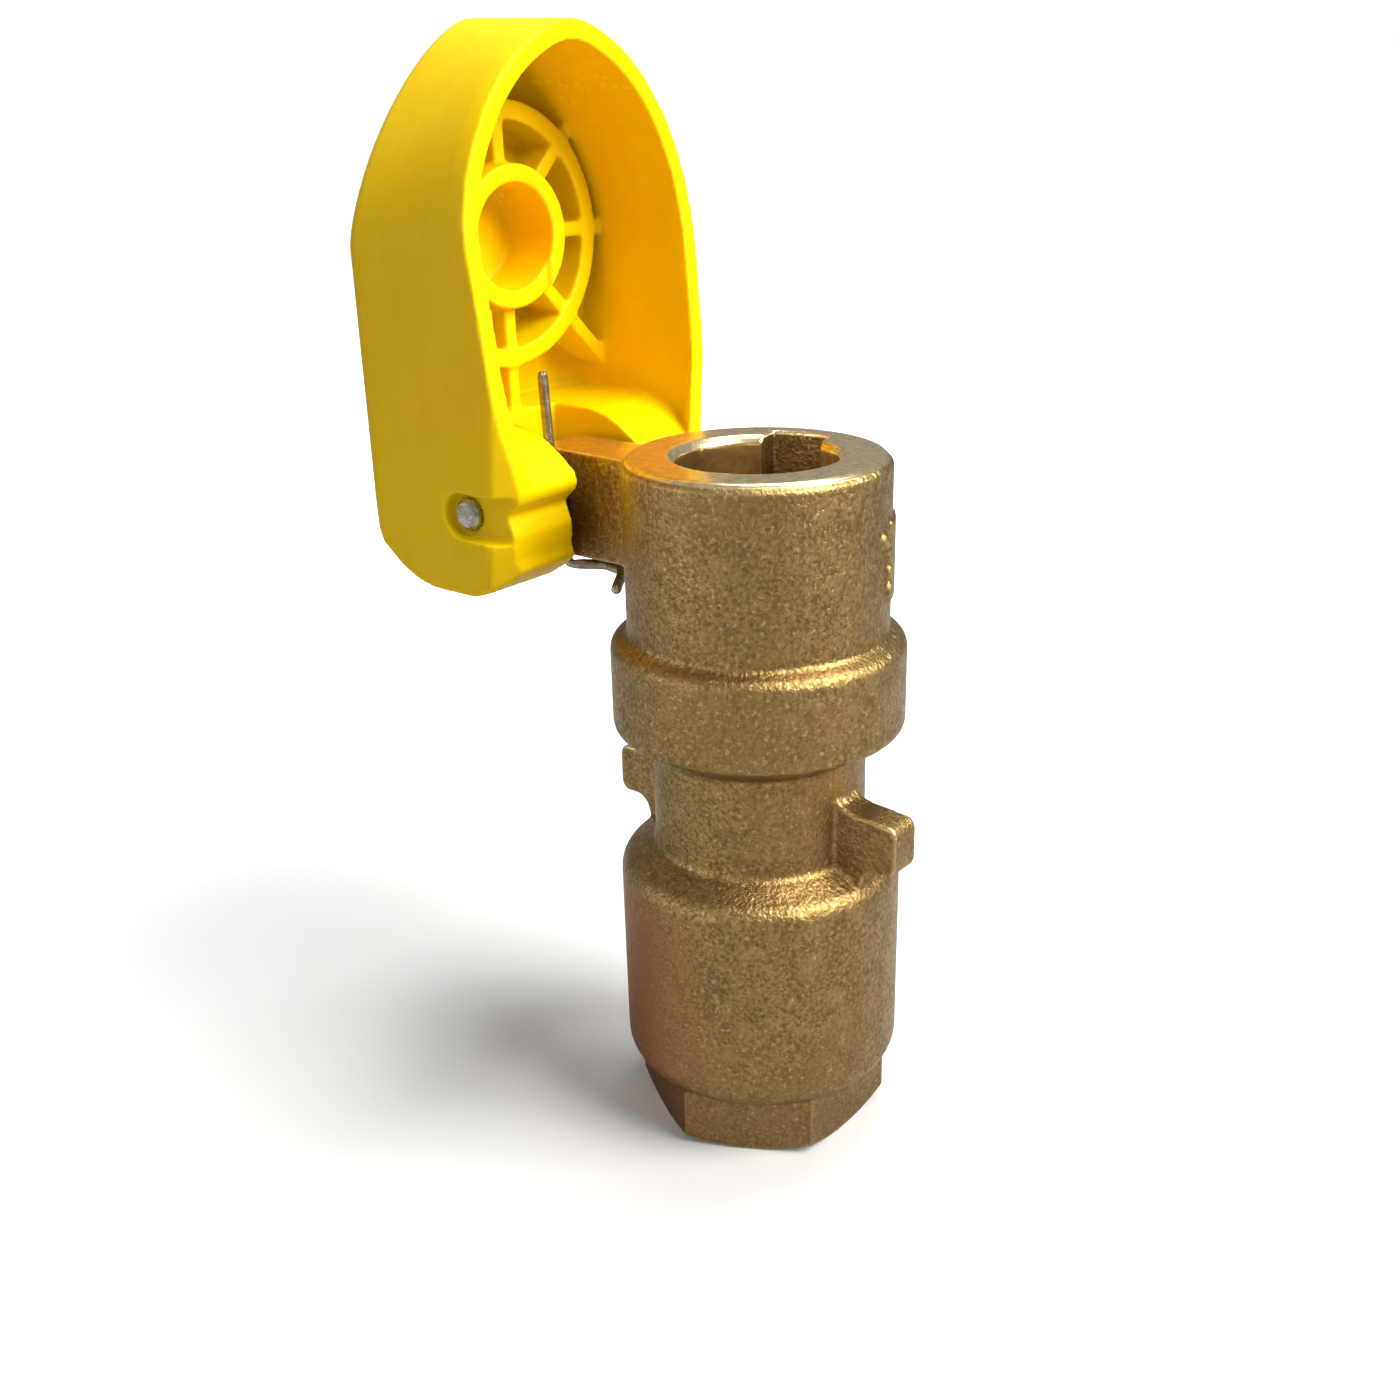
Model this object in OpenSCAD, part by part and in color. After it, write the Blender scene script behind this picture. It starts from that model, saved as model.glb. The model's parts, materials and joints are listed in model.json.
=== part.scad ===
// Quick coupling valve: one-piece cast brass body, spring-loaded hinged cover, inner poppet.
// Units are millimetres, +Z is up, the origin is the centre of the inlet face.
// The cover is drawn open, standing straight up behind the hinge ear.

/* [Body] */
// height from the inlet face to the rim
body_h = 108; // [104:0.5:112]
// width across the flats of the wrench hex
hex_af = 35; // [34:0.5:36]
// height of the wrench hex
hex_h = 9.8; // [8:0.2:11]
// radius of the lower barrel
lower_r = 21.9; // [21.5:0.1:23]
// top corner of the lower barrel
shoulder_z = 46; // [45.5:0.1:46.5]
// radius of the neck
neck_r = 16.35; // [16:0.05:17]
// radius of the seal collar
collar_r = 22.2; // [21.5:0.1:23]
// lower edge of the collar at the neck
collar_z0 = 64.6; // [64:0.1:65.5]
// top of the collar
collar_z1 = 81.4; // [81:0.1:82]
// radius of the upper barrel
upper_r = 19.6; // [19.2:0.1:20.4]
// radius of the key bore
key_r = 11.8; // [11.5:0.05:12.2]
// width of the key slot
slot_w = 9.6; // [7:0.2:10]
// radius that the key slot reaches
slot_r = 15.6; // [15:0.1:16]
// distance from the axis to the wing tips
wing_x = 26.6; // [25:0.1:31]
// thickness of the wings
wing_t = 5.6; // [5:0.1:7]

/* [Inlet and seat] */
// minor radius of the female pipe thread
inlet_r = 12.1; // [11.9:0.05:12.3]
// radius of the cast flow chamber
chamber_r = 16.8; // [16:0.1:17.2]
// radius of the seat opening
seat_r = 9; // [8.6:0.1:9.4]
// height of the seat face
seat_z = 44; // [43.8:0.1:44.2]

/* [Hinge] */
// distance from the axis to the hinge pin
hinge_x = 38; // [37.5:0.1:39]
// height of the hinge pin
hinge_z = 98; // [97.5:0.1:98.5]
// radius of the hinge pin
pin_r = 2.4; // [2.2:0.05:2.5]
// running gap between pin and ear
pin_gap = 0.06; // [0.03:0.01:0.1]
// half thickness of the hinge ear
ear_half = 5; // [4.5:0.1:5.2]

/* [Cover] */
// half width of the cover over the valve
cover_half = 24.6; // [24:0.1:26]
// half width of the cover at the hinge
cheek_half = 23.3; // [22.5:0.1:24]
// distance from the pin to the far end of the cover
cover_far = 69.3; // [67:0.1:71]
// height of the crown above the pin line when closed
crown_w = 20.4; // [19:0.1:21]
// depth of the skirt below the pin line when closed
rim_w = 6.3; // [5:0.1:7]
// wall thickness of crown and skirt
cover_wall = 2.9; // [2.4:0.1:3.2]
// radius of the sealing ring inside the cover
ring_r = 20; // [19:0.1:20.5]
// radius of the plug cup inside the cover
plug_r = 10.8; // [9.5:0.1:11]
// thickness of the radial ribs
rib_t = 2.3; // [1.4:0.1:2.4]

/* [Poppet] */
// radius of the poppet disc
disc_r = 11.3; // [11:0.1:11.6]
// radius of the poppet stem
stem_r = 3; // [2.8:0.05:3.2]
// running gap between stem and guide
stem_gap = 0.06; // [0.03:0.01:0.1]

/* [Springs] */
// wire radius of the poppet spring
wire_r = 0.75; // [0.6:0.05:0.85]
// wire radius of the cover spring
cover_wire_r = 0.7; // [0.6:0.05:0.75]

/* [Hidden] */
$fn = 96;
eps = 0.01;
fit = 0.05;            // gap between pieces that are simply laid against each other

// body profile
lower_round = 4;
shoulder_round = 3.4;
edge_round = 1.5;
collar_round = 2.1;
shoulder_top_z = shoulder_z + 1.1;
rim_chamfer = 1.2;
bore_chamfer = 1;
hex_chamfer_slope = tan(30);
hex_round_r = hex_af / 2 + 0.7;

// wings
wing_z0 = 48.8;
wing_z1 = 56.8;
wing_web_x = 21;
wing_round = 1.5;

// ear, as heights around the pin
ear_up = 7.3;
ear_down = 9.5;
ear_r = (ear_up + ear_down) / 2;
ear_c = (ear_up - ear_down) / 2;
ear_root_x = 14;
ear_fillet = 3;
ear_bore_r = pin_r + pin_gap;

// raised cast mark
mark_az = 42;
mark_pad_h = 0.45;
mark_pad_w = 16;
mark_pad_z = 87.4;
mark_pad_len = 11.8;
bar_h = 0.6;
bar_wide = 1.1;
bar_len = 2.4;
bar_tilt = 40;
bar_places = [[-30, 97], [-25, 94.6], [-23, 91.8], [-23, 89.2]];   // turn from the pad's middle, height

// key way
turn_z0 = 83;
turn_z1 = 91;
slot_z = turn_z0;
slot_turn = 9.5;

// inlet end
inlet_chamfer = 1.1;
inlet_top = 24.5;
clip_z = 17.2;
clip_t = 1.3;
clip_r = 12.95;
clip_in_r = 10.9;
clip_gap_w = 6;
guide_t = 4;
guide_z = clip_z + clip_t + fit;
guide_r = inlet_r - 0.1;
guide_ring_r = 10.2;
guide_hub_r = 5;
guide_spoke_w = 2.6;
guide_spokes = 3;

// seat
chamber_top = 45.4;
chamber_slope = 2.5;
seat_lip_r = 11;
seat_top = 47.6;
key_floor = seat_top + 2.2;

// seal groove and ring
seal_z0 = 69;
seal_z1 = 76;
seal_out_r = 15.6;
seal_in_r = key_r;
seal_lip = 1.6;

// cover, in cover axes: u away from the hinge, w out through the crown, y across
crown_round = 5.2;
crown_end = 1.4;        // power that pulls the crown's end in from an ellipse
rim_end = 1.1;          // the same for the rim
crown_tilt = 0.047;     // the crown rises towards the hinge
tilt_u = 50;            // where the crown has its stated height
heel_w = crown_w + 3;   // height of the crown over the heel
rib_root = 1.8;         // how far ribs and tubes run into the tilted crown
rim_back = 1.3;         // how much shorter the rim is than the crown
rim_low_half = 18;      // half width of the rim at the hinge, drawn in towards the ear
rim_low_w = 4.6;        // depth where the sides start to draw in
body_top_w = body_h - hinge_z;
ring_w = body_top_w + 0.08;
plug_w = body_top_w - 2.2;
plug_in_r = 8;
ring_wall = 2.9;
ring_u = hinge_x;
heel_r = 17;
heel_u = -12.8;
cheek_w = 10;
cheek_top_u = 11.4;
cheek_inner_near = 8.6;
cheek_inner_far = 7;
ear_clear = 0.9;
bar_w = ear_up + 1.2;
slot_open_w = 2;
groove_h = 7.2;
groove_deep = 2.4;
pin_proud = 1.2;        // how far the pin stands out of the groove floor
rib_count = 8;
rib_step = 360 / rib_count;

// pin
pin_len = 2 * (cheek_half - groove_deep + pin_proud);
pin_chamfer = 0.5;

// poppet stack
disc_z0 = 37;
disc_t = 3;
washer_z0 = disc_z0 + disc_t;
washer_t = seat_z - fit - washer_z0;
boss_r = 4.5;
washer_in_r = boss_r + fit;
washer_out_r = 10.9;
retainer_r = 8.2;
retainer_t = 1.5;
retainer_z = washer_z0 + washer_t + fit;
nut_af = 8;
nut_t = 3;
nut_z = retainer_z + retainer_t;
stud_r = 2.5;
stud_top = nut_z + nut_t + 0.8;
stem_z0 = 17.6;
stem_chamfer = 0.6;

// springs
coil_r = 7.6;
coil_turns = 4;
coil_seg = 32;
wire_seg = 10;
torsion_r = 4.3;
torsion_start = 3;
torsion_sweep = 360;
torsion_y0 = -(ear_half + 0.2 + cover_wire_r);
torsion_pitch = 2 * cover_wire_r + 0.1;
leg_tip = [3.2, 19.5];
leg_body = [[4.8, torsion_y0, -10.7], [9.6, -2.2, -10.9], [13.2, -2.2, -11.4], [16.6, -7.8, -12.6]];

// ---------- helpers ----------
function arc(cx, cy, r, a0, a1, n = 8) =
    [for (i = [0 : n]) let (a = a0 + (a1 - a0) * i / n) [cx + r * cos(a), cy + r * sin(a)]];
function unit(v) = v / norm(v);

// round wire swept along a path; every ring of points is turned to the same reference axis
module wire(path, r, ref, n = wire_seg) {
    last = len(path) - 1;
    tang = [for (i = [0 : last]) unit(path[min(i + 1, last)] - path[max(i - 1, 0)])];
    pts = [for (i = [0 : last]) let (b = unit(cross(tang[i], ref)), c = cross(b, tang[i]))
           for (k = [0 : n - 1]) path[i] + r * (cos(360 * k / n) * b + sin(360 * k / n) * c)];
    sides = [for (i = [0 : last - 1]) for (k = [0 : n - 1]) let (m = (k + 1) % n)
             [i * n + k, i * n + m, (i + 1) * n + m, (i + 1) * n + k]];
    head = [[for (k = [0 : n - 1]) n - 1 - k]];
    tail = [[for (k = [0 : n - 1]) last * n + k]];
    polyhedron(points = pts, faces = concat(sides, head, tail), convexity = 6);
}

// slab drawn in a side view (x outwards, z up) and centred on y = 0
module side_slab(points, y0, y1) {
    translate([0, y1, 0]) rotate([90, 0, 0]) linear_extrude(y1 - y0) polygon(points);
}

// ---------- brass body ----------
module body_outside() {
    rotate_extrude() polygon(concat(
        [[0, hex_h]],
        arc(lower_r - lower_round, hex_h + lower_round, lower_round, -90, 0),
        arc(lower_r - shoulder_round, shoulder_z - shoulder_round, shoulder_round, 0, 68),
        arc(neck_r + edge_round, shoulder_top_z + edge_round, edge_round, 255, 180),
        arc(neck_r + edge_round, collar_z0 - edge_round, edge_round, 180, 118),
        arc(collar_r - edge_round, collar_z0 + 3.6, edge_round, -62, 0),
        arc(collar_r - collar_round, collar_z1 - collar_round, collar_round, 0, 80),
        arc(upper_r + 0.7, collar_z1 + 0.9, 0.7, 250, 180),
        [[upper_r, body_h - rim_chamfer], [upper_r - rim_chamfer, body_h], [0, body_h]]));
}

module wrench_hex() {
    intersection() {
        rotate([0, 0, 30]) cylinder(r = hex_af / 2 / cos(30), h = hex_h + lower_round, $fn = 6);
        rotate_extrude() polygon([[0, 0], [hex_af / 2 - 0.3, 0],
            [hex_round_r + 3, (3.7 + 0.3) * hex_chamfer_slope],
            [hex_round_r + 3, hex_h + lower_round], [0, hex_h + lower_round]]);
    }
}

module wing() {
    side_slab(concat(
        [[neck_r - 4, shoulder_z - 1], [wing_web_x - 0.6, shoulder_z - 1]],
        [[wing_web_x + 0.2, wing_z0 - 1.2], [wing_web_x + 1.6, wing_z0]],
        arc(wing_x - wing_round, wing_z0 + wing_round, wing_round, -90, 0),
        arc(wing_x - wing_round, wing_z1 - wing_round, wing_round, 0, 90),
        [[neck_r + 2.5, wing_z1 + 0.5], [neck_r + 0.8, wing_z1 + 1], [neck_r - 0.4, wing_z1 + 2.2],
         [neck_r - 4, wing_z1 + 2.2]]),
        -wing_t / 2, wing_t / 2);
}

module ear() {
    mirror([1, 0, 0]) side_slab(concat(
        [[ear_root_x, hinge_z + ear_up], [ear_root_x, hinge_z - ear_down - ear_fillet],
         [upper_r - 0.3, hinge_z - ear_down - ear_fillet]],
        arc(upper_r + ear_fillet - 0.2, hinge_z - ear_down - ear_fillet, ear_fillet, 180, 90),
        arc(hinge_x, hinge_z + ear_c, ear_r, -90, 90, 16)),
        -ear_half, ear_half);
}

module body_inside() {
    rotate_extrude() polygon([
        [0, -eps], [inlet_r + inlet_chamfer, -eps], [inlet_r, inlet_chamfer],
        [inlet_r, clip_z - fit], [clip_r + fit, clip_z - fit], [clip_r + fit, clip_z + clip_t + fit],
        [inlet_r, clip_z + clip_t + fit], [inlet_r, inlet_top], [chamber_r, inlet_top + chamber_slope],
        [chamber_r, chamber_top - chamber_slope], [chamber_r - chamber_slope, chamber_top],
        [seat_lip_r, chamber_top], [seat_lip_r, seat_z], [seat_r, seat_z], [seat_r, seat_top],
        [key_r, key_floor], [key_r, seal_z0 - fit], [seal_out_r + fit, seal_z0 - fit],
        [seal_out_r + fit, seal_z1 + fit], [key_r, seal_z1 + fit], [key_r, turn_z0],
        [slot_r, turn_z0], [slot_r, turn_z1], [key_r, turn_z1 + 2],
        [key_r, body_h - bore_chamfer], [key_r + bore_chamfer + eps, body_h + eps], [0, body_h + eps]]);
}

module key_slot() {
    rotate([0, 0, slot_turn]) intersection() {
        translate([-slot_w / 2, 0, slot_z]) cube([slot_w, slot_r + 2, body_h]);
        cylinder(r = slot_r, h = body_h + 1);
    }
}

module cast_mark() {
    intersection() {
        translate([0, 0, mark_pad_z]) cylinder(r = upper_r + mark_pad_h, h = mark_pad_len);
        rotate([0, 0, mark_az]) translate([upper_r / 2, -mark_pad_w / 2, mark_pad_z])
            cube([upper_r, mark_pad_w, mark_pad_len]);
        translate([0, 0, mark_pad_z]) difference() {
            cylinder(r = upper_r + 1, h = mark_pad_len);
            translate([0, 0, -eps]) cylinder(r = upper_r - 1, h = mark_pad_len + 1);
        }
    }
    for (b = bar_places) rotate([0, 0, mark_az + b[0]]) translate([upper_r, 0, b[1]])
        rotate([bar_tilt, 0, 0]) translate([-1, -bar_wide / 2, -bar_len / 2])
            cube([1 + bar_h, bar_wide, bar_len]);
}

module valve_body() {
    color("#8f7340") difference() {
        union() {
            body_outside();
            wrench_hex();
            wing();
            mirror([1, 0, 0]) wing();
            ear();
            cast_mark();
        }
        body_inside();
        key_slot();
        translate([-hinge_x, 0, hinge_z]) rotate([90, 0, 0])
            cylinder(r = ear_bore_r, h = 4 * ear_half, center = true);
    }
}

module key_seal() {
    color("#1d1d1f") rotate_extrude() polygon([
        [seal_in_r + 0.8, seal_z0], [seal_out_r, seal_z0], [seal_out_r, seal_z1],
        [seal_in_r + 0.8, seal_z1], [seal_in_r + 0.8, seal_z0 + 2 * seal_lip],
        [seal_in_r, seal_z0 + seal_lip]]);
}

// ---------- cover ----------
// outline seen through the crown, shrunk by the given inset: u away from the hinge, y across
function outline(inset, far, power, low) = concat(
    [for (i = [0 : 40]) let (a = -90 + 180 * i / 40)
        [ring_u + (far - ring_u - inset) * pow(cos(a), power),
         (cover_half - inset) * sign(a) * pow(abs(sin(a)), power)]],
    [[0, low - inset], [heel_u - 2 + inset, low - 0.8 - inset],
     [heel_u - 2 + inset, -low + 0.8 + inset], [0, -low + inset]]);

// slab with that outline between two depths w, placed in the open position
module slab(inset, w0, w1, far = cover_far, power = crown_end, low = cheek_half, tilt = 0) {
    multmatrix([[tilt, 0, -1, -hinge_x - tilt * tilt_u], [0, 1, 0, 0], [1, 0, 0, hinge_z], [0, 0, 0, 1]])
        translate([0, 0, w0]) linear_extrude(w1 - w0) polygon(outline(inset, far, power, low));
}

module crown_block(inset, top) {
    hull() {
        slab(inset, -cheek_w - 2, -cheek_w, cover_far - rim_back, rim_end, rim_low_half);
        slab(inset, -rim_low_w, -rim_w + 3, cover_far - rim_back, rim_end);
        for (a = [15 : 15 : 90])
            slab(inset + crown_round * (1 - cos(a)), top - crown_round,
                 top - crown_round * (1 - sin(a)), tilt = crown_tilt);
    }
}

// side view points (w, u) turned into body x and z
function at(p) = [-hinge_x - p[0], hinge_z + p[1]];

// beak, notch and lower lip at the front of the cheeks
function cheek_front() = [
    [-cheek_w - 0.7, 3.9], [-cheek_w - 0.2, 2.8], [-cheek_w + 2.1, 0.6], [-cheek_w + 0.9, -2.5],
    [-cheek_w + 1.2, -6], [-cheek_w + 0.6, -7.8], [-cheek_w + 2.4, -9.4], [-4, -11.6], [-1, -12.6]];

function side_view() = concat(
    [[-rim_w + 0.3, cover_far + 1], [-rim_w - 0.1, 52], [-rim_w - 0.6, 42], [-rim_w - 1.7, 33],
     [-rim_w - 2.5, 25], [-rim_w - 3.1, 18], [-rim_w - 3.4, 13], [-cheek_w - 0.4, 8]],
    cheek_front(),
    arc(heel_w - heel_r, heel_u + heel_r, heel_r, -90, 0, 12),
    [[heel_w, cover_far + 1]]);

// the cheeks beside the ear fall away towards the front like two knuckles
function cheek_view() = concat(
    [[heel_w, cheek_top_u], [4, cheek_top_u], [0.5, cheek_top_u - 0.2], [-2.5, cheek_top_u - 0.9],
     [-5, cheek_top_u - 2.1], [-8.2, cheek_top_u - 4.2], [-cheek_w - 0.2, cheek_top_u - 6]],
    cheek_front(),
    [[-1, heel_u - 3], [heel_w, heel_u - 3]]);

module cover_outside() {
    intersection() {
        crown_block(0, crown_w);
        side_slab([for (p = side_view()) at(p)], -cover_half - 1, cover_half + 1);
    }
}

module u_box(u0, u1, w0, w1, y0, y1) {
    translate([-hinge_x - w1, y0, hinge_z + u0]) cube([w1 - w0, y1 - y0, u1 - u0]);
}

module cover_hollow() {
    difference() {
        crown_block(cover_wall, crown_w - cover_wall);
        side_slab([for (p = cheek_view()) at(p)], -cover_half, cover_half);
    }
}

module rib_tube(r, wall, w0) {
    translate([-hinge_x - w0, 0, hinge_z + ring_u]) rotate([0, -90, 0])
        difference() {
            cylinder(r = r, h = crown_w - cover_wall - w0 + rib_root);
            translate([0, 0, -eps]) cylinder(r = r - wall, h = crown_w + rib_root);
        }
}

module radial_ribs() {
    intersection() {
        translate([-hinge_x - ring_w, 0, hinge_z + ring_u]) rotate([0, -90, 0])
            for (i = [0 : rib_count - 1]) rotate([0, 0, i * rib_step])
                translate([plug_r - 1, -rib_t / 2, 0.4])
                    cube([ring_u, rib_t, crown_w - cover_wall - ring_w + rib_root]);
        crown_block(cover_wall / 2, crown_w - cover_wall / 2);
        u_box(cheek_top_u - 2, cover_far, 0, heel_w, -cover_half, cover_half);
    }
}

// room for the ear in every position of the cover, open underneath
module ear_room() {
    reach = ear_r - ear_c + ear_clear;
    side_slab(concat(
        [at([slot_open_w, heel_u - 5]), at([-cheek_w - 3, heel_u - 5]), at([-cheek_w - 3, ring_u]),
         at([bar_w, ring_u])],
        [for (p = arc(0, 0, reach, 30, -78, 10)) at(p)]),
        -cheek_inner_near, cheek_inner_far);
}

module cheek_groove(side) {
    y0 = side * (cheek_half - groove_deep);
    u_box(-groove_h / 2, groove_h / 2, -cheek_w - 3, 0,
          min(y0, y0 + side * 6), max(y0, y0 + side * 6));
    translate([-hinge_x, y0, hinge_z]) rotate([-90 * side, 0, 0]) cylinder(r = groove_h / 2, h = 6);
}

module cover() {
    color("#f5d000") difference() {
        union() {
            difference() {
                cover_outside();
                cover_hollow();
            }
            rib_tube(ring_r, ring_wall, ring_w);
            rib_tube(plug_r, plug_r - plug_in_r, plug_w);
            radial_ribs();
        }
        ear_room();
        cheek_groove(1);
        cheek_groove(-1);
        translate([-hinge_x, 0, hinge_z]) rotate([90, 0, 0])
            cylinder(r = pin_r, h = 4 * cheek_half, center = true);
    }
}

module hinge_pin() {
    color("#b9bcc0") translate([-hinge_x, pin_len / 2, hinge_z]) rotate([90, 0, 0])
        rotate_extrude() polygon([[0, 0], [pin_r - pin_chamfer, 0], [pin_r, pin_chamfer],
            [pin_r, pin_len - pin_chamfer], [pin_r - pin_chamfer, pin_len], [0, pin_len]]);
}

// torsion spring beside the ear: one leg up inside the cover, the other along the foot of the ear
module cover_spring() {
    n = round(torsion_sweep / 360 * coil_seg);
    y_in = torsion_y0 - torsion_pitch * torsion_sweep / 360;
    coil = [for (i = [0 : n]) let (a = torsion_start - torsion_sweep * i / n)
            [-hinge_x + torsion_r * cos(a), y_in + (torsion_y0 - y_in) * i / n,
             hinge_z + torsion_r * sin(a)]];
    tip = [-hinge_x + leg_tip[0], y_in, hinge_z + leg_tip[1]];
    upper = [for (i = [0 : 5]) tip + (coil[0] - tip) * i / 6];
    knees = concat([coil[n]], [for (p = leg_body) [p[0] - hinge_x, p[1], p[2] + hinge_z]]);
    lower = [for (k = [1 : len(knees) - 1]) for (i = [1 : 4])
             knees[k - 1] + (knees[k] - knees[k - 1]) * i / 4];
    color("#8d8468") wire(concat(upper, coil, lower), cover_wire_r, [0, 1, 0]);
}

// ---------- poppet ----------
module poppet() {
    color("#a8873f") rotate_extrude() polygon([
        [0, stem_z0], [stem_r - stem_chamfer, stem_z0], [stem_r, stem_z0 + stem_chamfer],
        [stem_r, disc_z0 - 1], [stem_r + 1, disc_z0], [disc_r - 0.5, disc_z0],
        [disc_r, disc_z0 + 0.5], [disc_r, washer_z0 - fit], [boss_r, washer_z0 - fit],
        [boss_r, retainer_z - fit], [stud_r, retainer_z - fit], [stud_r, stud_top], [0, stud_top]]);
}

module seat_washer() {
    color("#222224") rotate_extrude() polygon([
        [washer_in_r, washer_z0], [washer_out_r, washer_z0], [washer_out_r, washer_z0 + washer_t],
        [washer_in_r, washer_z0 + washer_t]]);
}

module washer_retainer() {
    color("#b3914a") rotate_extrude() polygon([
        [stud_r + fit, retainer_z], [retainer_r, retainer_z], [retainer_r, retainer_z + retainer_t - 0.4],
        [retainer_r - 0.4, retainer_z + retainer_t - fit], [stud_r + fit, retainer_z + retainer_t - fit]]);
}

module retainer_nut() {
    color("#a98a45") translate([0, 0, nut_z]) difference() {
        cylinder(r = nut_af / 2 / cos(30), h = nut_t, $fn = 6);
        translate([0, 0, -eps]) cylinder(r = stud_r + fit, h = nut_t + 1);
    }
}

module valve_spring() {
    z0 = guide_z + guide_t + wire_r + fit;
    z1 = disc_z0 - wire_r - fit;
    n = coil_turns * coil_seg;
    dead = coil_seg * 3 / 4;
    path = [for (i = [0 : n]) let (a = 360 * i / coil_seg,
                k = max(0, min(1, (i - dead) / (n - 2 * dead))), z = z0 + (z1 - z0) * k)
            [coil_r * cos(a), coil_r * sin(a), z]];
    color("#a9adb2") wire(path, wire_r, [0, 0, 1]);
}

module guide_spider() {
    color("#a08040") difference() {
        translate([0, 0, guide_z]) union() {
            difference() {
                cylinder(r = guide_r, h = guide_t);
                translate([0, 0, -eps]) cylinder(r = guide_ring_r, h = guide_t + 1);
            }
            cylinder(r = guide_hub_r, h = guide_t);
            for (i = [0 : guide_spokes - 1]) rotate([0, 0, 360 * i / guide_spokes])
                translate([0, -guide_spoke_w / 2, 0]) cube([guide_ring_r + 0.5, guide_spoke_w, guide_t]);
        }
        translate([0, 0, guide_z - 1]) cylinder(r = stem_r + stem_gap, h = guide_t + 2);
    }
}

module snap_ring() {
    color("#8e9296") translate([0, 0, clip_z]) difference() {
        cylinder(r = clip_r, h = clip_t);
        translate([0, 0, -eps]) cylinder(r = clip_in_r, h = clip_t + 1);
        translate([-clip_gap_w / 2, -clip_r - 1, -eps]) cube([clip_gap_w, clip_r, clip_t + 1]);
    }
}

valve_body();
key_seal();
cover();
hinge_pin();
cover_spring();
poppet();
seat_washer();
washer_retainer();
retainer_nut();
valve_spring();
guide_spider();
snap_ring();
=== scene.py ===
"""Looks of the quick coupling valve: cast brass body, moulded yellow cover, springs and studio."""

import json
import math

import bmesh
import bpy
from mathutils import Matrix, Vector


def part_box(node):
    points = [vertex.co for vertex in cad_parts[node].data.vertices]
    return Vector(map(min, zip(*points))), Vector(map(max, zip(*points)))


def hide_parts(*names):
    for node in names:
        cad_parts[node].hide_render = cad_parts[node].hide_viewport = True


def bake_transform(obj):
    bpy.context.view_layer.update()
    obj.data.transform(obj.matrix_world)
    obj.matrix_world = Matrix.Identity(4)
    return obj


MM = 0.001

# body surfaces that a cutter has touched, in the frame of the part
THREAD_PITCH = 25.4 / 14 * MM
LATHE_STEP = 0.32 * MM
INLET_WALL_R, INLET_DEPTH = 13.2 * MM, 17.0 * MM
BORE_WALL_R, BORE_FLOOR_Z = 12.6 * MM, 88 * MM
EAR_START_X = -20.5 * MM
SKIM = 0.8 * MM

# reddish stain on the lower barrel: direction it faces, how far out it starts and ends, and its heights
STAIN_X, STAIN_Y = 0.77, 0.64
STAIN_FROM, STAIN_FULL = -7 * MM, -20 * MM
STAIN_TOP_Z, STAIN_FULL_Z = 46 * MM, 36 * MM

# how the CAD nodes are softened and the springs refined
SKIN_VOXEL_MM = 0.32
BODY_ROUNDS, COVER_ROUNDS = 3, 6
SPLIT_ANGLE_DEG = 35
COVER_WIRE_SWELL_MM = 0.16

# studio
FLOOR_HALF = 3.0
FLOOR_Z = -0.05 * MM
FLOOR_GREY = 0.38
SHADOW_FROM, SHADOW_TO = 0.09, 0.29
SKY_LOW, SKY_HIGH = 0.24, 0.42
LAMP_TARGET_Z = 0.08

# camera: place before the turn about Z, and its angles
CAMERA_TURN_DEG = 39.75
CAMERA_PITCH, CAMERA_ROLL = 0.380180, -0.025323
CAMERA_PLACE = (-9.302 * MM, -211.847 * MM, 155.275 * MM)
CAMERA_LENS, SENSOR_WIDTH = 38.71, 36

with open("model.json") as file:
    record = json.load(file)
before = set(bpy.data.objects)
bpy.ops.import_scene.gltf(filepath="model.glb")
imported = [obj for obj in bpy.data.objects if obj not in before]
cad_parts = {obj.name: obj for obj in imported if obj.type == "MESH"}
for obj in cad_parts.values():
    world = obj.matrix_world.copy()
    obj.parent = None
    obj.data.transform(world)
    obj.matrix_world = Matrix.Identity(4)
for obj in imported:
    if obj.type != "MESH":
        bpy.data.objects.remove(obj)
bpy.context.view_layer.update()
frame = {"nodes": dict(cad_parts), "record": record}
nodes = frame["nodes"]


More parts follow.
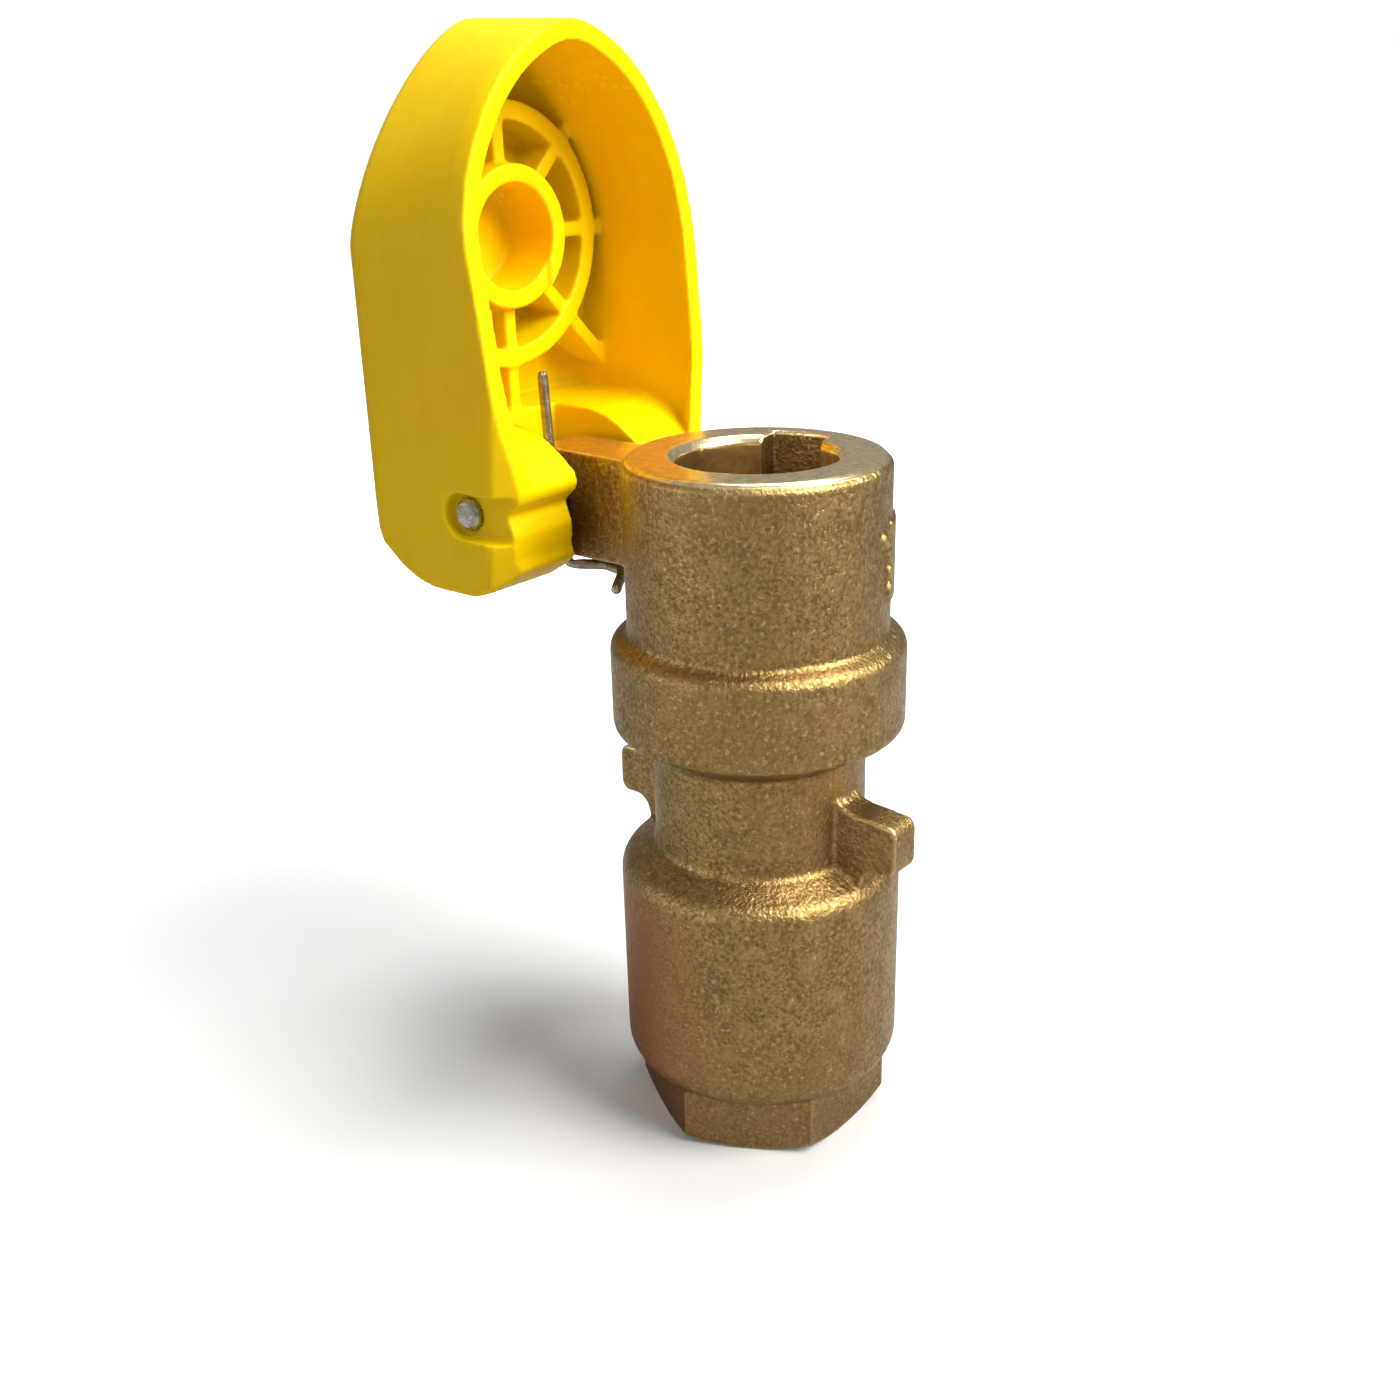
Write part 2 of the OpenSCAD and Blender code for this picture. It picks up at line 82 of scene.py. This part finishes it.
# ---------- shader graph helper ----------
class Graph:
    """A node material built from short calls; sockets are passed in as inputs."""

    def __init__(self, name):
        self.mat = bpy.data.materials.new(name)
        self.mat.use_nodes = True
        self.tree = self.mat.node_tree
        self.bsdf = self.tree.nodes["Principled BSDF"]
        self.coords = self.node("ShaderNodeTexCoord").outputs["Object"]

    def node(self, kind, inputs=None, **props):
        made = self.tree.nodes.new(kind)
        for key, value in props.items():
            setattr(made, key, value)
        for key, value in (inputs or {}).items():
            self.put(made.inputs[key], value)
        return made

    def put(self, socket, value):
        if isinstance(value, bpy.types.NodeSocket):
            self.tree.links.new(value, socket)
        else:
            socket.default_value = value

    def noise(self, size_mm, detail=3.0, rough=0.55, stretch=None):
        """Noise whose blobs are about size_mm across."""
        vector = self.coords
        if stretch:
            vector = self.node("ShaderNodeMapping", {"Vector": vector, "Scale": stretch}).outputs[0]
        return self.node(
            "ShaderNodeTexNoise",
            {"Vector": vector, "Scale": 1 / (size_mm * MM), "Detail": detail, "Roughness": rough},
        ).outputs["Fac"]

    def math(self, op, a, b=0.0):
        return self.node("ShaderNodeMath", {0: a, 1: b}, operation=op).outputs[0]

    def ramp(self, fac, low, high, out_low=0.0, out_high=1.0):
        """Smooth step from out_low at low to out_high at high."""
        return self.node(
            "ShaderNodeMapRange",
            {"Value": fac, "From Min": low, "From Max": high, "To Min": out_low, "To Max": out_high},
            interpolation_type="SMOOTHSTEP",
        ).outputs[0]

    def mix(self, fac, a, b):
        """Blend of two colours, each a socket or an RGB triple."""
        made = self.node("ShaderNodeMix", data_type="RGBA")
        self.put(made.inputs["Factor"], fac)
        for socket, value in ((made.inputs[6], a), (made.inputs[7], b)):
            self.put(socket, value if isinstance(value, bpy.types.NodeSocket) else (*value, 1.0))
        return made.outputs[2]

    def mix_value(self, fac, a, b):
        made = self.node("ShaderNodeMix", data_type="FLOAT")
        self.put(made.inputs["Factor"], fac)
        self.put(made.inputs[2], a)
        self.put(made.inputs[3], b)
        return made.outputs[0]

    def bump(self, height, depth_mm, strength=1.0, under=None):
        inputs = {"Height": height, "Distance": depth_mm * MM, "Strength": strength}
        if under is not None:
            inputs["Normal"] = under
        return self.node("ShaderNodeBump", inputs).outputs["Normal"]

    def edges(self, low, high):
        """1 on convex edges, 0 on flats and in hollows."""
        return self.ramp(self.node("ShaderNodeNewGeometry").outputs["Pointiness"], low, high)

    def surface(self, **values):
        for key, value in values.items():
            self.put(self.bsdf.inputs[key.replace("_", " ")], value)
        return self.mat


# ---------- materials ----------
def cast_brass():
    """Tumbled sand casting with machined rim, bore and ear top."""
    rim_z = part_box("valve_body")[1].z
    g = Graph("cast_brass")
    xyz = g.node("ShaderNodeSeparateXYZ", {0: g.coords})
    radius = g.math("SQRT", g.math("ADD", g.math("MULTIPLY", xyz.outputs[0], xyz.outputs[0]),
                                   g.math("MULTIPLY", xyz.outputs[1], xyz.outputs[1])))
    height = xyz.outputs[2]
    top = g.ramp(height, rim_z - SKIM, rim_z - SKIM + 0.35 * MM)
    bore = g.math("MULTIPLY", g.ramp(radius, BORE_WALL_R + 0.3 * MM, BORE_WALL_R),
                  g.ramp(height, BORE_FLOOR_Z, BORE_FLOOR_Z + MM))
    foot = g.ramp(height, 0.5 * MM, 0.2 * MM)
    inlet = g.math("MULTIPLY", g.ramp(radius, INLET_WALL_R + 0.2 * MM, INLET_WALL_R),
                   g.ramp(height, INLET_DEPTH + 0.4 * MM, INLET_DEPTH))
    normals = g.node("ShaderNodeNewGeometry").outputs["Normal"]
    upward = g.node("ShaderNodeSeparateXYZ", {0: normals}).outputs[2]
    ear_top = g.math("MULTIPLY", g.ramp(xyz.outputs[0], EAR_START_X, EAR_START_X - 1.5 * MM),
                     g.ramp(upward, 0.25, 0.5))
    machined = g.math("MAXIMUM", g.math("MAXIMUM", top, bore), g.math("MAXIMUM", foot, inlet))
    machined = g.math("MAXIMUM", machined, ear_top)

    grain = g.noise(0.60, 4.0, 0.60)
    blotch = g.noise(3.2, 3.0, 0.6)
    cloud = g.noise(22, 2.0, 0.5)
    fleck = g.noise(0.7, 2.0, 0.5)
    tone = g.math("ADD", g.math("MULTIPLY", grain, 0.7), g.math("MULTIPLY", blotch, 0.3))
    base = g.mix(g.ramp(tone, 0.36, 0.64), (0.19, 0.122, 0.042), (0.43, 0.288, 0.102))
    base = g.mix(g.ramp(cloud, 0.42, 0.62, 0.0, 0.4), base, (0.33, 0.195, 0.075))
    base = g.mix(g.ramp(fleck, 0.58, 0.72, 0.0, 0.5), base, (0.70, 0.52, 0.25))
    # painted highlight: convex edges and fillets are lightened towards gold, as if light from above glints on
    # them
    base = g.mix(g.math("MULTIPLY", g.edges(0.505, 0.56), 0.6), base, (0.82, 0.63, 0.27))
    side = g.math("ADD", g.math("MULTIPLY", xyz.outputs[0], STAIN_X),
                  g.math("MULTIPLY", xyz.outputs[1], STAIN_Y))
    stain = g.math("MULTIPLY", g.ramp(side, STAIN_FROM, STAIN_FULL), g.ramp(height, STAIN_TOP_Z, STAIN_FULL_Z))
    base = g.mix(g.math("MULTIPLY", stain, 0.8), base, (0.40, 0.15, 0.05))
    lathe = g.math("SINE", g.math("MULTIPLY", radius, 2 * math.pi / LATHE_STEP))
    bright = g.mix(g.ramp(g.noise(1.3), 0.3, 0.7), (0.72, 0.56, 0.30), (0.95, 0.77, 0.41))
    color = g.mix(machined, base, bright)

    rough = g.mix_value(machined, g.ramp(tone, 0.35, 0.65, 0.44, 0.28), 0.26)
    cast = g.bump(grain, 0.26, 0.85)
    cast = g.bump(blotch, 0.32, 0.5, cast)
    angle = g.math("ARCTAN2", xyz.outputs[1], xyz.outputs[0])
    helix = g.math("SINE", g.math("ADD", g.math("MULTIPLY", height, 2 * math.pi / THREAD_PITCH), angle))
    turned = g.bump(g.math("MULTIPLY", helix, inlet), 0.45, 1.0, g.bump(lathe, 0.012, 0.5))
    normal = g.node("ShaderNodeMix", data_type="VECTOR")
    g.put(normal.inputs["Factor"], machined)
    g.put(normal.inputs[4], cast)
    g.put(normal.inputs[5], turned)
    return g.surface(Base_Color=color, Metallic=1.0, Roughness=rough, Normal=normal.outputs[1])


def turned_brass():
    """Bar-turned brass of the inner pieces, with fine tool rings."""
    g = Graph("turned_brass")
    rings = g.noise(0.25, 2.0, 0.5, stretch=(0.15, 0.15, 1.0))
    color = g.mix(g.ramp(g.noise(2.5), 0.35, 0.65), (0.58, 0.42, 0.18), (0.78, 0.60, 0.30))
    # painted highlight: convex edges are lightened towards pale gold
    color = g.mix(g.edges(0.505, 0.56), color, (0.88, 0.74, 0.45))
    return g.surface(Base_Color=color, Metallic=1.0, Roughness=g.ramp(rings, 0.3, 0.7, 0.22, 0.36),
                     Normal=g.bump(rings, 0.02, 0.6))


def moulded_yellow():
    """Soft moulded rubber-plastic: satin skin, light flow marks, painted shade (a darker, more orange colour)
    in the hollows.
    """
    g = Graph("moulded_yellow")
    skin = g.noise(0.35, 2.0, 0.5)
    flow = g.noise(9, 3.0, 0.6, stretch=(1.0, 1.0, 0.45))
    color = g.mix(g.ramp(flow, 0.3, 0.7), (0.93, 0.585, 0.0), (0.97, 0.63, 0.0))
    # painted shade: hollows found by ambient occlusion are darkened to a deeper orange-yellow
    painted_hollow_shade = g.node("ShaderNodeAmbientOcclusion", {"Distance": 9 * MM}).outputs["AO"]
    color = g.mix(g.ramp(painted_hollow_shade, 0.35, 0.95), (0.80, 0.575, 0.0), color)
    # painted highlight: convex edges are lightened to a brighter, more clipped-looking yellow
    color = g.mix(g.math("MULTIPLY", g.edges(0.51, 0.58), 0.5), color, (1.0, 0.78, 0.01))
    scuff = g.ramp(g.noise(1.4, 4.0, 0.7), 0.5, 0.75, 0.0, 0.12)
    return g.surface(Base_Color=color, Specular_IOR_Level=0.1,
                     Roughness=g.math("ADD", g.ramp(skin, 0.3, 0.7, 0.36, 0.46), scuff),
                     Subsurface_Weight=0.22, Subsurface_Radius=(1.0, 0.55, 0.05),
                     Subsurface_Scale=2.5 * MM, Normal=g.bump(skin, 0.03, 0.5, g.bump(flow, 0.25, 0.35)))


def black_rubber():
    """Matt rubber with a faint grey bloom."""
    g = Graph("black_rubber")
    bloom = g.noise(1.8, 4.0, 0.6)
    color = g.mix(g.ramp(bloom, 0.4, 0.75), (0.012, 0.012, 0.013), (0.05, 0.048, 0.045))
    return g.surface(Base_Color=color, Roughness=g.ramp(bloom, 0.3, 0.7, 0.5, 0.7),
                     Normal=g.bump(g.noise(0.3), 0.03, 0.6))


def steel(name, low, high, rough):
    """Drawn or cut wire: fine lengthwise streaks and a little tarnish."""
    g = Graph(name)
    streak = g.noise(0.2, 2.0, 0.5, stretch=(0.2, 0.2, 1.0))
    color = g.mix(g.ramp(g.noise(1.6, 4.0, 0.6), 0.35, 0.7), low, high)
    return g.surface(Base_Color=color, Metallic=1.0,
                     Roughness=g.ramp(streak, 0.3, 0.7, rough - 0.08, rough + 0.08),
                     Normal=g.bump(streak, 0.02, 0.5))


MATERIALS = {
    "cast_brass": cast_brass(),
    "turned_brass": turned_brass(),
    "yellow_cover": moulded_yellow(),
    "black_rubber": black_rubber(),
    "pin_steel": steel("pin_steel", (0.36, 0.34, 0.28), (0.66, 0.63, 0.56), 0.30),
    "spring_steel": steel("spring_steel", (0.26, 0.22, 0.16), (0.50, 0.44, 0.33), 0.34),
}


def paint(obj, slot_name):
    obj.data.materials.clear()
    obj.data.materials.append(MATERIALS[slot_name])


# ---------- geometry helpers ----------
def soften(obj, voxel_mm, rounds):
    """Rounds every corner of a CAD node the way a casting or moulding has them."""
    remesh = obj.modifiers.new("skin", "REMESH")
    remesh.mode = "VOXEL"
    remesh.voxel_size = voxel_mm * MM
    remesh.use_smooth_shade = True
    smooth = obj.modifiers.new("round", "SMOOTH")
    smooth.factor = 0.5
    smooth.iterations = rounds


def shade_smooth(obj):
    """Smooth shading that keeps the machined corners crisp."""
    obj.data.shade_smooth()
    edge = obj.modifiers.new("edges", "EDGE_SPLIT")
    edge.split_angle = math.radians(SPLIT_ANGLE_DEG)


def smooth_wire(name, node_name, swell_mm=0.0):
    """A finely rounded copy of a spring node, thickened by swell_mm when that is given."""
    mesh = bmesh.new()
    mesh.from_mesh(nodes[node_name].data)
    bmesh.ops.remove_doubles(mesh, verts=mesh.verts, dist=0.01 * MM)
    bmesh.ops.join_triangles(mesh, faces=mesh.faces, angle_face_threshold=math.radians(25),
                             angle_shape_threshold=math.radians(60))
    data = bpy.data.meshes.new(name)
    mesh.to_mesh(data)
    mesh.free()
    wire = bpy.data.objects.new(name, data)
    bpy.context.scene.collection.objects.link(wire)
    data.shade_smooth()
    finer = wire.modifiers.new("round", "SUBSURF")
    finer.levels = finer.render_levels = 2
    if swell_mm:
        swell = wire.modifiers.new("swell", "DISPLACE")
        swell.strength = swell_mm * MM
        swell.mid_level = 0.0
    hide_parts(node_name)
    return wire


# ---------- pieces ----------
soften(nodes["valve_body"], SKIN_VOXEL_MM, BODY_ROUNDS)
soften(nodes["cover"], SKIN_VOXEL_MM, COVER_ROUNDS)
for name in ("poppet", "seat_washer", "washer_retainer", "retainer_nut", "guide_spider", "snap_ring",
             "key_seal", "hinge_pin"):
    shade_smooth(nodes[name])

for part in frame["record"]["subparts"]:
    if part["node"] in nodes:
        paint(nodes[part["node"]], part["material_slot"])

cover_wire = smooth_wire("cover_spring_wire", "cover_spring", COVER_WIRE_SWELL_MM)
paint(cover_wire, "spring_steel")
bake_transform(cover_wire)

poppet_wire = smooth_wire("poppet_spring_wire", "valve_spring")
paint(poppet_wire, "spring_steel")
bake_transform(poppet_wire)


# ---------- studio ----------
def backdrop():
    """Pale floor, seen from above only; it glows away from the valve so that it meets the white sky."""
    half = FLOOR_HALF
    mesh = bpy.data.meshes.new("floor")
    corners = [(x, y, FLOOR_Z) for x, y in ((-half, -half), (half, -half), (half, half), (-half, half))]
    mesh.from_pydata(corners, [], [(0, 1, 2, 3)])
    floor = bpy.data.objects.new("floor", mesh)
    bpy.context.scene.collection.objects.link(floor)
    g = Graph("pale_floor")
    seen = g.node("ShaderNodeLightPath").outputs["Is Camera Ray"]
    tone = g.mix_value(seen, FLOOR_GREY, g.ramp(g.noise(400), 0.3, 0.7, 0.64, 0.66))
    away = g.node("ShaderNodeVectorMath", {0: g.coords}, operation="LENGTH").outputs["Value"]
    glow = g.math("MULTIPLY", seen, g.ramp(away, SHADOW_FROM, SHADOW_TO, 0.05, 1.0))
    below = g.node("ShaderNodeNewGeometry").outputs["Backfacing"]
    g.surface(Base_Color=g.node("ShaderNodeCombineColor", {0: tone, 1: tone, 2: tone}).outputs[0],
              Roughness=1.0, Specular_IOR_Level=0.0, Emission_Color=(1, 1, 1, 1),
              Emission_Strength=glow, Alpha=g.math("SUBTRACT", 1.0, below))
    mesh.materials.append(g.mat)


def area_light(name, place, size, power, color=(1, 1, 1), diffuse=True):
    """Soft round lamp aimed at the middle of the valve; diffuse=False shows in reflections only."""
    data = bpy.data.lights.new(name, "AREA")
    data.shape = "DISK"
    data.size = size
    data.energy = power
    data.color = color
    lamp = bpy.data.objects.new(name, data)
    lamp.location = place
    lamp.rotation_euler = (middle - place).to_track_quat("-Z", "Y").to_euler()
    lamp.visible_diffuse = diffuse
    bpy.context.scene.collection.objects.link(lamp)


def sky():
    """White where the camera sees it, a softer grey room where the brass reflects it."""
    world = bpy.data.worlds.new("studio")
    bpy.context.scene.world = world
    world.use_nodes = True
    tree = world.node_tree
    background = tree.nodes["Background"]
    coords = tree.nodes.new("ShaderNodeTexCoord")
    split = tree.nodes.new("ShaderNodeSeparateXYZ")
    tree.links.new(coords.outputs["Generated"], split.inputs[0])
    ramp = tree.nodes.new("ShaderNodeMapRange")
    tree.links.new(split.outputs[2], ramp.inputs["Value"])
    for key, value in {"From Min": -0.1, "From Max": 0.9, "To Min": SKY_LOW, "To Max": SKY_HIGH}.items():
        ramp.inputs[key].default_value = value
    path = tree.nodes.new("ShaderNodeLightPath")
    mix = tree.nodes.new("ShaderNodeMix")
    tree.links.new(path.outputs["Is Camera Ray"], mix.inputs["Factor"])
    tree.links.new(ramp.outputs[0], mix.inputs[2])
    mix.inputs[3].default_value = 1.0
    tree.links.new(mix.outputs[0], background.inputs["Strength"])
    background.inputs["Color"].default_value = (1, 1, 1, 1)


def photo_camera():
    """The eye stands in front of the valve, turned about Z, and looks 22 degrees down."""
    turn = math.radians(CAMERA_TURN_DEG)
    c, s = math.cos(turn), -math.sin(turn)

    def to_row(v):
        return Vector((v[0] * c + v[1] * s, -v[0] * s + v[1] * c, v[2]))

    right = Vector((1, 0, 0))
    above = Vector((0, math.sin(CAMERA_PITCH), math.cos(CAMERA_PITCH)))
    ahead = Vector((0, math.cos(CAMERA_PITCH), -math.sin(CAMERA_PITCH)))
    cr, sr = math.cos(CAMERA_ROLL), math.sin(CAMERA_ROLL)
    image_x = to_row(right * cr + above * sr)
    image_y = to_row(above * cr - right * sr)
    back_axis = -to_row(ahead)
    data = bpy.data.cameras.new("photo_camera")
    data.sensor_width = SENSOR_WIDTH
    data.lens = CAMERA_LENS
    data.clip_start = 0.01
    camera = bpy.data.objects.new("photo_camera", data)
    rotation = Matrix((image_x, image_y, back_axis)).transposed().to_4x4()
    camera.matrix_world = Matrix.Translation(to_row(CAMERA_PLACE)) @ rotation
    bpy.context.scene.collection.objects.link(camera)
    bpy.context.scene.camera = camera
    return image_x, -back_axis


backdrop()
sky()
image_right, view_ahead = photo_camera()
level_ahead = Vector((view_ahead.x, view_ahead.y, 0)).normalized()
level_right = Vector((image_right.x, image_right.y, 0)).normalized()
middle = Vector((0, 0, LAMP_TARGET_Z))


def spot(right, toward, up):
    """A place given from the camera's point of view, in metres from the middle of the valve."""
    return middle + level_right * right - level_ahead * toward + Vector((0, 0, up))


area_light("key", spot(0.56, 0.28, 0.55), size=0.62, power=12.8, color=(1.0, 0.99, 0.96))
area_light("fill", spot(-0.35, 0.75, 0.25), size=0.45, power=0.25)
area_light("card", spot(-0.60, 0.25, 0.12), size=0.50, power=1.1, diffuse=False)
area_light("top", spot(0.10, -0.20, 0.80), size=0.35, power=5.0)

bpy.context.scene.view_settings.view_transform = "Standard"

bpy.context.view_layer.update()
